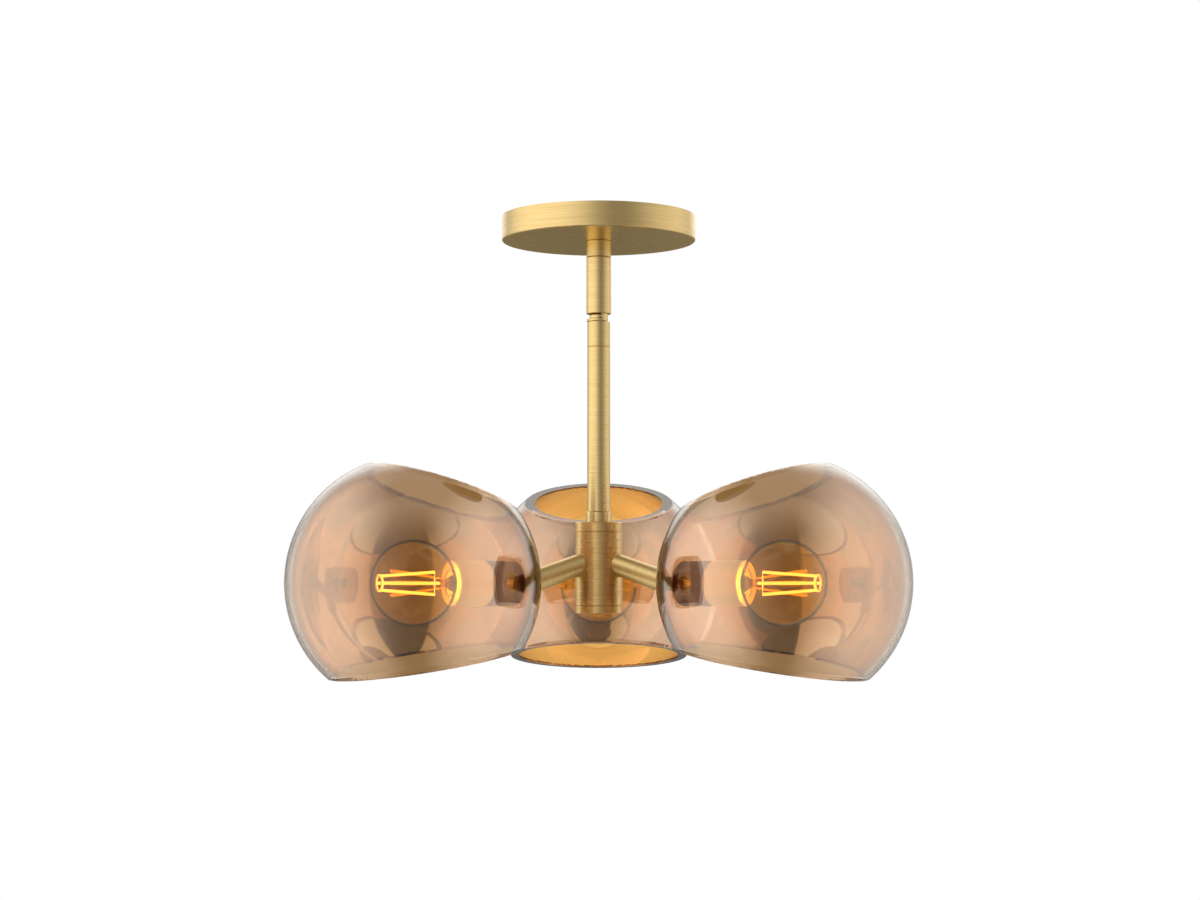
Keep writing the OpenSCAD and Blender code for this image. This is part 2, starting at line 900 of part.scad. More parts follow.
bulb_globe(right_angle);  // bulb_globe_right
bulb_globe(back_angle);  // bulb_globe_back
bulb_mount(left_angle);  // bulb_mount_left
bulb_mount(right_angle);  // bulb_mount_right
bulb_mount(back_angle);  // bulb_mount_back
bulb_leads(left_angle);  // bulb_leads_left
bulb_leads(right_angle);  // bulb_leads_right
bulb_leads(back_angle);  // bulb_leads_back
filaments(left_angle);  // filaments_left
filaments(right_angle);  // filaments_right
filaments(back_angle);  // filaments_back
bulb_base(left_angle);  // bulb_base_left
bulb_base(right_angle);  // bulb_base_right
bulb_base(back_angle);  // bulb_base_back
bulb_eyelet(left_angle);  // bulb_eyelet_left
bulb_eyelet(right_angle);  // bulb_eyelet_right
bulb_eyelet(back_angle);  // bulb_eyelet_back
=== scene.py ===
import bmesh
import bpy
import json
import math
from mathutils import Matrix, Vector

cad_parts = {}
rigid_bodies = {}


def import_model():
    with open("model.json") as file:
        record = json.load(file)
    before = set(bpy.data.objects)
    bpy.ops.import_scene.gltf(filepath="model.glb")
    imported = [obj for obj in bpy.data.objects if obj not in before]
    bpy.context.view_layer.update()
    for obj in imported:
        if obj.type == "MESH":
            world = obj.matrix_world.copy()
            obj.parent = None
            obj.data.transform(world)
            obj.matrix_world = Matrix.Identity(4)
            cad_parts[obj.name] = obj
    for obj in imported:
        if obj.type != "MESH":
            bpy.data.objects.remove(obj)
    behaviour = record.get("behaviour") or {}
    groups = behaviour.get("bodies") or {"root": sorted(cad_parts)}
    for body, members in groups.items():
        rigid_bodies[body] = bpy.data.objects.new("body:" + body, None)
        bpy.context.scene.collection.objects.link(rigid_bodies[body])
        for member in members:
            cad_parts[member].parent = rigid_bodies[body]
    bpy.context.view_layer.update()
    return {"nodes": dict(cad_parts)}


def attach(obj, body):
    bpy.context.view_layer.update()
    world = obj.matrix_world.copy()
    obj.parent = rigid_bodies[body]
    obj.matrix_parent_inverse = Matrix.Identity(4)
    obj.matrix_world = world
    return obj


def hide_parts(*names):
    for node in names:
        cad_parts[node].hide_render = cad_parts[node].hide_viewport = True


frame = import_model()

# Room: a plain pale floor far under the lamp, an even white surround, and the camera at the
# photograph's angle, level with the shades. The surround is plain white to the camera and to gloss,
# and a little lower as light, so that matt pieces keep their own colour.
IMAGE_WIDTH, IMAGE_HEIGHT = 1200, 900
HORIZON_ROW, AXIS_COLUMN = 601.13, 598.7
EYE = Vector((0, -1.4256, -0.2384))
LENS_MM, SENSOR_MM = 68.87, 36
WHITE = (1, 1, 1, 1)
SURROUND_LIGHT = 0.75
FLOOR_PAINT = "#f2f1ee"
FLOOR_LIFT = 0.38
FLOOR_DROP, FLOOR_HALF_WIDTH = 2.1, 9


def linear(colour):
    parts = [int(colour[i:i + 2], 16) / 255 for i in (1, 3, 5)]
    return [p / 12.92 if p <= 0.04045 else ((p + 0.055) / 1.055) ** 2.4 for p in parts] + [1.0]


def add(tree, kind, sockets=None, **settings):
    """Adds a node. A socket gets a value, or a link where the value is another node's output."""
    node = tree.nodes.new(kind)
    for key, value in settings.items():
        setattr(node, key, value)
    for key, value in (sockets or {}).items():
        if isinstance(value, bpy.types.NodeSocket):
            tree.links.new(value, node.inputs[key])
        else:
            node.inputs[key].default_value = value
    return node


def calc(tree, operation, *values, clamp=False):
    return add(tree, "ShaderNodeMath", dict(enumerate(values)), operation=operation,
               use_clamp=clamp).outputs[0]


def rescale(tree, value, low, high, to_low, to_high):
    return add(tree, "ShaderNodeMapRange", {"Value": value, "From Min": low, "From Max": high,
               "To Min": to_low, "To Max": to_high}).outputs[0]


def emission(tree, colour, strength):
    return add(tree, "ShaderNodeEmission", {"Color": colour, "Strength": strength}).outputs[0]


def new_material(name):
    material = bpy.data.materials.new(name)
    material.use_nodes = True
    material.node_tree.nodes.clear()
    return material, material.node_tree


def surface(tree, shader):
    add(tree, "ShaderNodeOutputMaterial", {"Surface": shader})


def into_scene(name, mesh, materials, smooth=True):
    data = bpy.data.meshes.new(name)
    mesh.to_mesh(data)
    mesh.free()
    for material in materials:
        data.materials.append(material)
    data.polygons.foreach_set("use_smooth", [smooth] * len(data.polygons))
    piece = bpy.data.objects.new(name, data)
    bpy.context.scene.collection.objects.link(piece)
    return piece


bpy.context.scene.view_settings.view_transform = "Standard"
eye = bpy.data.cameras.new("eye")
eye.lens, eye.sensor_width = LENS_MM, SENSOR_MM
eye.shift_x = (IMAGE_WIDTH / 2 - AXIS_COLUMN) / IMAGE_WIDTH
eye.shift_y = (HORIZON_ROW - IMAGE_HEIGHT / 2) / IMAGE_WIDTH
camera = bpy.data.objects.new("eye", eye)
camera.location = EYE
camera.rotation_euler = (math.radians(90), 0, 0)
bpy.context.scene.collection.objects.link(camera)
bpy.context.scene.camera = camera

surround = bpy.data.worlds.new("white_surround")
surround.use_nodes = True
bpy.context.scene.world = surround
tree = surround.node_tree
tree.nodes.clear()
path = add(tree, "ShaderNodeLightPath")
seen = calc(tree, "MAXIMUM", path.outputs["Is Camera Ray"], path.outputs["Is Glossy Ray"])
seen = calc(tree, "MAXIMUM", seen, path.outputs["Is Transmission Ray"])
level = rescale(tree, seen, 0.0, 1.0, SURROUND_LIGHT, 1.0)
white = add(tree, "ShaderNodeBackground", {"Color": WHITE, "Strength": level})
add(tree, "ShaderNodeOutputWorld", {"Surface": white.outputs[0]})

paint, tree = new_material("matt_white_floor_paint")
coat = add(tree, "ShaderNodeBsdfDiffuse", {"Color": linear(FLOOR_PAINT)})
path = add(tree, "ShaderNodeLightPath")
glow = emission(tree, WHITE, calc(tree, "MULTIPLY", path.outputs["Is Camera Ray"], FLOOR_LIFT))
surface(tree, add(tree, "ShaderNodeAddShader", {0: coat.outputs[0], 1: glow}).outputs[0])
mesh = bmesh.new()
bmesh.ops.create_grid(mesh, x_segments=1, y_segments=1, size=FLOOR_HALF_WIDTH)
bmesh.ops.translate(mesh, verts=mesh.verts, vec=(0, 0, -FLOOR_DROP))
floor = into_scene("floor", mesh, [paint], smooth=False)

# Studio tent: a round cloth tent lit from outside, which is what the brass and the glass mirror.
# Two tall soft panels stand left and right of the camera, with a dark slot between them, a dim back
# and a pale floor. It only shows in gloss and through glass, so it throws no hard light of its own.
TENT_RADIUS = 1.8
TENT_CENTRE_Z = -0.228
TENT_CLOTH = (1, 0.97, 0.93, 1)
# What shows through two tinted walls, toned to the dusk that stands behind smoked glass
BEHIND_GLASS = (0.41, 0.235, 0.08, 1)
# What shows through the back globe's far wall alone, where its mouths face the camera. No other wall
# is as near to the cloth behind it, so the length of the last stretch tells it apart.
BEHIND_MOUTH = (1.40, 0.80, 0.20, 1)
MOUTH_REACH = 1.69
# Cloth that shows in a second mirror, such as a globe that is mirrored in the hub
TWICE_MIRRORED = (0.18, 0.10, 0.05, 1)
# Cloth that shows in the brass of the hub, where a globe mirrors the hub
BRASS_IN_GLASS = (0.12, 0.04, 0.01, 1)
# A ray that leaves by a shade's open mouth skips one tinted wall, so the tent is dimmer for it
MOUTH_DIMMING = -0.42
# Each list is (degrees, brightness). Bearings run from the camera's side towards the right hand.
# Brass spreads the panels' edges, the convex outer skin of the glass shows them softly, and the
# hollow far wall brings them to a sharp edge.
ON_BRASS = [(-180, .22), (-140, .55), (-107, 1.45), (-84, 1.6), (-47, 1.5), (-31, 1.3), (-15, .95),
            (0, .55), (14, .36), (31, .36), (48, .55), (65, .85), (85, 1.06), (108, 1.2), (140, .75),
            (180, .22)]
ON_NEAR_WALL = [(-180, .4), (-150, .55), (-125, 1.05), (-95, 1.45), (-70, 1.5), (-47, .8),
                (-28, .15), (-12, 0), (12, 0), (22, .2), (36, .8), (60, 1.5), (90, 1.6),
                (118, 1.15), (150, .55), (180, .4)]
ON_FAR_WALL = [(-180, .4), (-103, .4), (-102, 1.6), (-60, 1.6), (-20, 1.4), (-19, 0), (46, 0),
               (47, 1.4), (90, 1.6), (165, 1.6), (180, .4)]
# Brightness of the panels by height, and what the tent's floor and roof add to it
BRASS_HEIGHT = [(-90, 0), (-56, .1), (-28, 1), (45, 1), (72, 0), (90, 0)]
BRASS_ENDS = [(-90, .4), (-54, .38), (-28, 0), (45, 0), (72, .45), (90, .45)]
NEAR_HEIGHT = [(-90, 0), (-80, .1), (-45, 1), (45, 1), (72, 0), (90, 0)]
NEAR_ENDS = [(-90, .08), (-54, .05), (-28, 0), (45, 0), (72, .45), (90, .45)]
FAR_HEIGHT = [(-90, 0), (-54, .05), (-26, 1), (86, 1), (90, .5)]
FAR_ENDS = [(-90, .55), (-54, .5), (-26, 0), (90, 0)]
# A card high behind the lamp, which lights the upper edges of the arms and the canopy's rim
BACK_CARD = [(-180, 1), (-152, 1), (-135, 0), (135, 0), (152, 1), (180, 1)]
BACK_CARD_HEIGHT = [(-90, 0), (8, 0), (20, 1.4), (50, 1.4), (65, 0), (90, 0)]
BACK_CARD_ENDS = [(-90, 0), (90, 0)]


def mix(tree, share, first, second):
    return add(tree, "ShaderNodeMixShader", {0: share, 1: first, 2: second}).outputs[0]


def blend(tree, share, first, second, kind="FLOAT"):
    return add(tree, "ShaderNodeMix", {"Factor": share, "A": first, "B": second},
               data_type=kind).outputs["Result"]


def by_angle(tree, angle, steps):
    """Brightness that runs in straight lines from step to step; the curve holds half of it."""
    low, high = steps[0][0], steps[-1][0]
    share = rescale(tree, angle, low, high, 0.0, 1.0)
    curve = add(tree, "ShaderNodeFloatCurve", {"Value": share})
    points = curve.mapping.curves[0].points
    points[0].location, points[-1].location = (0, steps[0][1] / 2), (1, steps[-1][1] / 2)
    for degrees, value in steps[1:-1]:
        points.new((degrees - low) / (high - low), value / 2)
    for point in points:
        point.handle_type = "VECTOR"
    curve.mapping.update()
    return calc(tree, "MULTIPLY", curve.outputs[0], 2.0)


def cloth_level(tree, bearings, heights, ends):
    panels = calc(tree, "MULTIPLY", by_angle(tree, bearing, bearings), by_angle(tree, height, heights))
    return calc(tree, "ADD", panels, by_angle(tree, height, ends))


cloth, tree = new_material("lit_tent_cloth")
place = add(tree, "ShaderNodeTexCoord").outputs["Object"]
place = add(tree, "ShaderNodeVectorMath", {0: place, 1: (0, 0, -TENT_CENTRE_Z)}, operation="ADD")
place = add(tree, "ShaderNodeSeparateXYZ", {0: place.outputs[0]})
bearing = calc(tree, "ARCTAN2", place.outputs["X"], calc(tree, "MULTIPLY", place.outputs["Y"], -1.0))
bearing = calc(tree, "DEGREES", bearing)
height = calc(tree, "ARCSINE", calc(tree, "DIVIDE", place.outputs["Z"], TENT_RADIUS))
height = calc(tree, "DEGREES", height)
# A wall has two skins. A ray that the near wall mirrors has passed two of them, and a ray that the
# far wall mirrors four, or two when its last stretch leads straight from that mirror out of a mouth.
path = add(tree, "ShaderNodeLightPath")
skins, mirrors = path.outputs["Transmission Depth"], path.outputs["Glossy Depth"]
reflected = path.outputs["Is Reflection Ray"]
in_glass = calc(tree, "GREATER_THAN", skins, 0.5)
past_skin = calc(tree, "GREATER_THAN", skins, 1.5)
past_wall = calc(tree, "GREATER_THAN", skins, 3.5)
past_globe = calc(tree, "GREATER_THAN", skins, 5.5)
out_of_mouth = calc(tree, "MULTIPLY", past_skin, reflected)
deep = calc(tree, "MAXIMUM", past_wall, out_of_mouth)
on_brass = calc(tree, "ADD", cloth_level(tree, ON_BRASS, BRASS_HEIGHT, BRASS_ENDS),
                cloth_level(tree, BACK_CARD, BACK_CARD_HEIGHT, BACK_CARD_ENDS))
on_near_wall = cloth_level(tree, ON_NEAR_WALL, NEAR_HEIGHT, NEAR_ENDS)
on_far_wall = calc(tree, "MULTIPLY", cloth_level(tree, ON_FAR_WALL, FAR_HEIGHT, FAR_ENDS),
                   calc(tree, "MULTIPLY_ADD", out_of_mouth, MOUTH_DIMMING, 1.0))
level = blend(tree, deep, blend(tree, in_glass, on_brass, on_near_wall), on_far_wall)
once = emission(tree, TENT_CLOTH, level)
twice = emission(tree, TWICE_MIRRORED, level)
brown = emission(tree, BRASS_IN_GLASS, level)
dusk = emission(tree, BEHIND_GLASS, 1.0)
amber = emission(tree, BEHIND_MOUTH, 1.0)
second = calc(tree, "MULTIPLY", calc(tree, "GREATER_THAN", mirrors, 1.5), in_glass)
by_wall = calc(tree, "SUBTRACT", past_wall, reflected, clamp=True)
by_wall = calc(tree, "SUBTRACT", by_wall, past_globe, clamp=True)
mirrored = mix(tree, by_wall, twice, once)
mirrored = mix(tree, out_of_mouth, mirrored, brown)
mirrored = mix(tree, second, once, mirrored)
close = calc(tree, "LESS_THAN", path.outputs["Ray Length"], MOUTH_REACH)
one_wall = calc(tree, "SUBTRACT", close, past_wall, clamp=True)
through = mix(tree, one_wall, dusk, amber)
surface(tree, mix(tree, calc(tree, "GREATER_THAN", mirrors, 0.5), through, mirrored))
cloth.cycles.emission_sampling = "NONE"
mesh = bmesh.new()
bmesh.ops.create_uvsphere(mesh, u_segments=64, v_segments=32, radius=TENT_RADIUS)
bmesh.ops.translate(mesh, verts=mesh.verts, vec=(0, 0, TENT_CENTRE_Z))
tent = into_scene("studio_tent", mesh, [cloth])
tent.visible_camera = tent.visible_diffuse = tent.visible_shadow = False

# Canopy: the spun brass cap that hides the outlet box, with the collar that carries the swivel.
# It was brushed on the lathe, so its lines run round the rim and in rings on the underside.
BRASS = "#d8bf86"
BRASS_WORN = "#ccb075"
BRUSH_LINE = 0.35e-3
STREAKS_PER_METRE = 25.0
GROOVE_DEPTH = 0.02e-3
# Faces that look down take a deeper edge tint: painted shade for the dim room below the lamp that they
# mirror
DOWNWARD_PAINTED_SHADE_TINT = (0.97, 0.88, 0.62, 1)
LOOKING_DOWN = -0.7


def from_axis(tree, place):
    flat = add(tree, "ShaderNodeVectorMath", {0: place, 1: (1, 1, 0)}, operation="MULTIPLY")
    return add(tree, "ShaderNodeVectorMath", {0: flat.outputs[0]}, operation="LENGTH").outputs["Value"]


def two_tone(tree, factor, low, low_colour, high, high_colour):
    ramp = add(tree, "ShaderNodeValToRGB", {0: factor})
    first, last = ramp.color_ramp.elements
    first.position, first.color = low, low_colour
    last.position, last.color = high, high_colour
    return ramp.outputs[0]


def brushed_brass(name, depth, line=BRUSH_LINE, axis=None, roughness=(0.22, 0.34),
                  colours=(BRASS_WORN, BRASS)):
    """Satin lacquered brass: soft long highlights, broken into fine lines across the lathe's axis."""
    material, tree = new_material(name)
    place = add(tree, "ShaderNodeTexCoord").outputs["Object"]
    if axis is None:
        upright = add(tree, "ShaderNodeSeparateXYZ", {0: place}).outputs["Z"]
        along = calc(tree, "ADD", from_axis(tree, place), upright)
    else:
        along = add(tree, "ShaderNodeVectorMath", {0: place, 1: axis}, operation="DOT_PRODUCT")
        along = along.outputs["Value"]
    along = calc(tree, "MULTIPLY", along, 1 / (2 * line))
    across = add(tree, "ShaderNodeVectorMath", {0: place, "Scale": STREAKS_PER_METRE}, operation="SCALE")
    across = add(tree, "ShaderNodeSeparateXYZ", {0: across.outputs[0]})
    spread = add(tree, "ShaderNodeCombineXYZ", {0: across.outputs["X"], 1: across.outputs["Y"], 2: along})
    lines = add(tree, "ShaderNodeTexNoise", {0: spread.outputs[0], "Scale": 1.0, "Detail": 3.0,
                "Roughness": 0.65}).outputs["Fac"]
    tone = two_tone(tree, lines, 0.32, linear(colours[0]), 0.62, linear(colours[1]))
    satin = rescale(tree, lines, 0.3, 0.7, roughness[1], roughness[0])
    grooves = add(tree, "ShaderNodeBump", {"Strength": depth, "Distance": GROOVE_DEPTH, "Height": lines})
    # Painted shade: faces that look down take a deeper edge tint
    upward = add(tree, "ShaderNodeNewGeometry").outputs["Normal"]
    upward = add(tree, "ShaderNodeSeparateXYZ", {0: upward}).outputs["Z"]
    edge = blend(tree, calc(tree, "LESS_THAN", upward, LOOKING_DOWN), WHITE, DOWNWARD_PAINTED_SHADE_TINT, "RGBA")
    metal = add(tree, "ShaderNodeBsdfPrincipled", {"Metallic": 1.0, "Base Color": tone,
                "Roughness": satin, "Normal": grooves.outputs[0], "Specular Tint": edge})
    surface(tree, metal.outputs[0])
    return material


def finish_node(material, slot, *names):
    for name in names:
        piece = frame["nodes"][name]
        piece.data.materials.clear()
        piece.data.materials.append(material)


spun_brass = brushed_brass("spun_brushed_brass", depth=0.12)
finish_node(spun_brass, "brushed_brass", "canopy", "canopy_collar")

# Fixing behind the canopy: a zinc-plated steel crossbar, its nut and the threaded tube that carries
# the lamp. They are cut and rolled stock with the cloudy blue-grey of bright zinc.
ZINC, ZINC_CLOUD, ZINC_CLOUD_SIZE = "#b4b8bd", "#9aa0a6", 4e-3
GREEN_DYE, GREEN_CLOUD, GREEN_CLOUD_SIZE = "#3f7a4a", "#2f6239", 2e-3


def grain(tree, per_metre, detail, roughness=0.5):
    place = add(tree, "ShaderNodeTexCoord").outputs["Object"]
    return add(tree, "ShaderNodeTexNoise", {0: place, "Scale": per_metre, "Detail": detail,
               "Roughness": roughness}).outputs["Fac"]


def plated(name, colour, cloud_colour, cloud, roughness, metallic=1.0):
    """Plated or painted steel: even gloss with faint clouds where the coat is thinner."""
    material, tree = new_material(name)
    clouds = grain(tree, 1 / cloud, 4.0, 0.6)
    tone = two_tone(tree, clouds, 0.35, linear(cloud_colour), 0.65, linear(colour))
    satin = rescale(tree, clouds, 0.3, 0.7, roughness * 0.85, roughness * 1.15)
    metal = add(tree, "ShaderNodeBsdfPrincipled", {"Metallic": metallic, "Base Color": tone,
                "Roughness": satin})
    surface(tree, metal.outputs[0])
    return material


bright_zinc = plated("bright_zinc_plated_steel", ZINC, ZINC_CLOUD, ZINC_CLOUD_SIZE, 0.38)
finish_node(bright_zinc, "zinc_steel", "mounting_bar", "bar_nut", "canopy_nipple", "sleeve_nut")
green_screw = plated("green_dyed_zinc_screw", GREEN_DYE, GREEN_CLOUD, GREEN_CLOUD_SIZE, 0.4,
                     metallic=0.85)
finish_node(green_screw, "ground_green", "ground_screw")

# Swivel: a turned brass sleeve that turns on the threaded tube, and a ball split in two halves that
# tilt on a pin. The brushing runs round each turned part.
turned_brass = brushed_brass("turned_brushed_brass", depth=0.15, line=0.3e-3)
finish_node(turned_brass, "brushed_brass", "swivel_sleeve", "upper_knuckle", "pivot_pin", "lower_knuckle")

# Stem: a drawn brass tube between a turned coupling and the hub, held by threaded steel inserts.
# The tube was spun against a brushing belt, so its lines are finer than those of the hub.
finish_node(turned_brass, "brushed_brass", "stem_coupling", "stem_tube", "hub_collar")
finish_node(bright_zinc, "zinc_steel", "stem_joiner", "stem_inserts", "hub_nipple", "hub_nut")

# Hub: a brass barrel with a cap above and below, clamped on a threaded tube. It was brushed with a
# coarser belt than the stem, which leaves broad level streaks round it and a warmer tone.
HUB_BRASS, HUB_BRASS_WORN = "#d8b67a", "#cca76a"
hub_brass = brushed_brass("coarse_brushed_brass", depth=0.45, line=0.5e-3, roughness=(0.24, 0.36),
                          colours=(HUB_BRASS_WORN, HUB_BRASS))
finish_node(hub_brass, "brushed_brass", "hub_top_cap", "hub_body", "hub_bottom_cap")

# Arms: three short brass tubes brazed into the hub, each tilted down to its globe, with a threaded
# steel plug in its end. Their brushing runs round the tube.
BEARING = {"left": 210, "right": 330, "back": 90}
ARM_TILT = 17.5
for side, bearing_deg in BEARING.items():
    turn, dip = math.radians(bearing_deg), math.radians(ARM_TILT)
    axis = (math.cos(turn) * math.cos(dip), math.sin(turn) * math.cos(dip), -math.sin(dip))
    arm_brass = brushed_brass("brushed_brass_arm_" + side, depth=0.04, line=0.15e-3, axis=axis,
                              roughness=(0.36, 0.44))
    finish_node(arm_brass, "brushed_brass", "arm_" + side)
finish_node(bright_zinc, "zinc_steel", "arm_plugs")

# Shades: three thick blown globes, cut open above and below and ground flat there. The inside carries
# a thin copper film baked on in vacuum, so they are part mirror and part amber window; the outside and
# the ground rims are bare glass.
SHADE_RADIUS = 0.076
SHADE_WALL = 0.004
SHADE_REACH = 0.127
SHADE_Z = -0.2277803
SHADE_SEGMENTS, SHADE_RINGS = 224, 112
# Each cut is its tilt in degrees, its distance from the globe's centre and its side, up or down
SHADE_CUTS = ((18.4, 0.058, 1), (9.8, 0.048, -1))
SHADE_HOLE = 0.00475
# The rings of the mesh nearer to the pole than this part of the hole are cut away for it
HOLE_TRIM = 0.6
GLASS_IOR = 1.5
COPPER_TINT = (0.85, 0.77, 0.68, 1)
# The film's own mirror colour and share, seen from the air inside and through the glass
FILM_FROM_INSIDE = ((1.0, 0.57, 0.24, 1), 0.50)
FILM_THROUGH_GLASS = ((1.0, 0.74, 0.55, 1), 0.25)
RIM_GLASS, RIM_CHALK, RIM_CHALK_SHARE = "#e8e6e2", "#d8cfc4", 0.12
RIM_GRITS_PER_METRE, RIM_ROUGHNESS = 900.0, (0.02, 0.12)

clear_side, tree = new_material("blown_soda_lime_glass")
body = add(tree, "ShaderNodeBsdfGlass", {"IOR": GLASS_IOR, "Roughness": 0.0, "Color": WHITE})
surface(tree, body.outputs[0])
copper_side, tree = new_material("copper_metallised_glass")
body = add(tree, "ShaderNodeBsdfGlass", {"IOR": GLASS_IOR, "Roughness": 0.0, "Color": COPPER_TINT})
films = []
for glint, share in (FILM_FROM_INSIDE, FILM_THROUGH_GLASS):
    film = add(tree, "ShaderNodeBsdfGlossy", {"Color": glint, "Roughness": 0.0})
    films.append(mix(tree, share, body.outputs[0], film.outputs[0]))
surface(tree, mix(tree, add(tree, "ShaderNodeNewGeometry").outputs["Backfacing"], *films))
ground_rim, tree = new_material("ground_glass_rim")
satin = rescale(tree, grain(tree, RIM_GRITS_PER_METRE, 3.0), 0.0, 1.0, *RIM_ROUGHNESS)
body = add(tree, "ShaderNodeBsdfGlass", {"IOR": GLASS_IOR, "Color": linear(RIM_GLASS), "Roughness": satin})
chalk = add(tree, "ShaderNodeBsdfDiffuse", {"Color": linear(RIM_CHALK)})
surface(tree, mix(tree, RIM_CHALK_SHARE, body.outputs[0], chalk.outputs[0]))


def to_side(mesh, bearing_deg):
    """Turns a piece modelled on a globe's own centre, outward along +X, to its place in the lamp."""
    turn = math.radians(bearing_deg)
    bmesh.ops.rotate(mesh, verts=mesh.verts, matrix=Matrix.Rotation(turn, 3, "Z"))
    bmesh.ops.translate(mesh, verts=mesh.verts,
                        vec=(SHADE_REACH * math.cos(turn), SHADE_REACH * math.sin(turn), SHADE_Z))


for side, bearing_deg in BEARING.items():
    mesh = bmesh.new()
    bmesh.ops.create_uvsphere(mesh, u_segments=SHADE_SEGMENTS, v_segments=SHADE_RINGS, radius=SHADE_RADIUS)
    outside = set(mesh.faces)
    bmesh.ops.create_uvsphere(mesh, u_segments=SHADE_SEGMENTS, v_segments=SHADE_RINGS,
                              radius=SHADE_RADIUS - SHADE_WALL)
    inside = [face for face in mesh.faces if face not in outside]
    for face in inside:
        face.material_index = 1
    bmesh.ops.reverse_faces(mesh, faces=inside)
    bmesh.ops.rotate(mesh, verts=mesh.verts, matrix=Matrix.Rotation(math.radians(-90), 3, "Y"))
    rims = []
    for tilt, depth, way in SHADE_CUTS:
        normal = Vector((-math.sin(math.radians(tilt)), 0, way * math.cos(math.radians(tilt))))
        bmesh.ops.bisect_plane(mesh, geom=mesh.verts[:] + mesh.edges[:] + mesh.faces[:],
                               plane_co=normal * depth, plane_no=normal, clear_outer=True)
        rim = [edge for edge in mesh.edges if edge.is_boundary
               and all(abs(v.co.dot(normal) - depth) < 1e-6 for v in edge.verts)]
        rims += bmesh.ops.bridge_loops(mesh, edges=rim)["faces"]
    pole = [v for v in mesh.verts if v.co.x < 0 and math.hypot(v.co.y, v.co.z) < SHADE_HOLE * HOLE_TRIM]
    bmesh.ops.delete(mesh, geom=pole, context="VERTS")
    hole = [edge for edge in mesh.edges if edge.is_boundary]
    for v in {v for edge in hole for v in edge.verts}:
        around, shell = math.hypot(v.co.y, v.co.z), v.co.length
        v.co.y *= SHADE_HOLE / around
        v.co.z *= SHADE_HOLE / around
        v.co.x = -math.sqrt(shell ** 2 - SHADE_HOLE ** 2)
    rims += bmesh.ops.bridge_loops(mesh, edges=hole)["faces"]
    for face in rims:
        face.material_index = 2
    bmesh.ops.recalc_face_normals(mesh, faces=mesh.faces)
    to_side(mesh, bearing_deg)
    shade = into_scene("blown_shade_" + side, mesh, [clear_side, copper_side, ground_rim])
    for polygon in shade.data.polygons:
        if polygon.material_index == 2:
            polygon.use_smooth = False
    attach(shade, "light")
    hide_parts("shade_" + side)

# Gaskets: moulded clear silicone washers on both sides of each globe's wall, which let the clamp hold
# the glass without cracking it. They are milky and soft in gloss.
SILICONE, SILICONE_IOR, SILICONE_CLEARNESS = "#ece6da", 1.41, 0.85
HAZE_PER_METRE, SILICONE_ROUGHNESS = 700.0, (0.15, 0.35)
silicone, tree = new_material("moulded_clear_silicone")
satin = rescale(tree, grain(tree, HAZE_PER_METRE, 3.0), 0.0, 1.0, *SILICONE_ROUGHNESS)
rubber = add(tree, "ShaderNodeBsdfPrincipled", {"Base Color": linear(SILICONE), "IOR": SILICONE_IOR,
             "Transmission Weight": SILICONE_CLEARNESS, "Roughness": satin})
surface(tree, rubber.outputs[0])
finish_node(silicone, "silicone", "outer_gaskets", "inner_gaskets")

# Sockets: a drawn brass cup on a threaded steel tube through the glass, with a glazed porcelain
# lampholder inside, its rolled brass screw shell and its sprung contact.
# A paler, brighter copy of the brass: painted light from the bulb on the cup
CUP_BRASS_LIT_COPY, CUP_BRASS_WORN_LIT_COPY = "#ffcf8e", "#f6c386"
# Painted shade darkens the cup's foot, deep in the globe; past it a painted glow stands for the bulb's
# light
CUP_FOOT_PAINTED_SHADE = "#7d3a20"
CUP_PAINTED_SHADE_ENDS = (0.0795, 0.0815)
CUP_PAINTED_GLOW, CUP_PAINTED_GLOW_STRENGTH = (1.0, 0.5, 0.1, 1), 0.32
GLAZE, GLAZE_SPECKLE, SPECKLES_PER_METRE, GLAZE_IOR = "#f0ebdf", "#e2dccd", 500.0, 1.54

for side, bearing_deg in BEARING.items():
    turn = math.radians(bearing_deg)
    cup_brass = brushed_brass("brushed_brass_cup_" + side, depth=0.12, roughness=(0.5, 0.62),
                              axis=(math.cos(turn), math.sin(turn), 0),
                              colours=(CUP_BRASS_WORN_LIT_COPY, CUP_BRASS_LIT_COPY))
    tree = cup_brass.node_tree
    metal = next(node for node in tree.nodes if node.type == "BSDF_PRINCIPLED")
    tone = metal.inputs["Base Color"].links[0].from_socket
    reach = from_axis(tree, add(tree, "ShaderNodeTexCoord").outputs["Object"])
    past_painted_shade = rescale(tree, reach, *CUP_PAINTED_SHADE_ENDS, 0.0, 1.0)
    # Painted shade: the foot of the cup takes a dark red-brown
    tone = blend(tree, past_painted_shade, linear(CUP_FOOT_PAINTED_SHADE), tone, "RGBA")
    straight = calc(tree, "LESS_THAN", add(tree, "ShaderNodeLightPath").outputs["Glossy Depth"], 0.5)
    # Painted glow: past its foot the cup gives off the bulb's light that the film throws back on it
    lit = calc(tree, "MULTIPLY", calc(tree, "MULTIPLY", past_painted_shade, straight), CUP_PAINTED_GLOW_STRENGTH)
    metal.inputs["Emission Color"].default_value = CUP_PAINTED_GLOW
    tree.links.new(tone, metal.inputs["Base Color"])
    tree.links.new(lit, metal.inputs["Emission Strength"])
    finish_node(cup_brass, "brushed_brass", "socket_cup_" + side)
finish_node(bright_zinc, "zinc_steel", "socket_nipples", "cup_nuts")
glaze, tree = new_material("glazed_porcelain")
speckle = grain(tree, SPECKLES_PER_METRE, 4.0)
tone = two_tone(tree, speckle, 0.3, linear(GLAZE_SPECKLE), 0.6, linear(GLAZE))
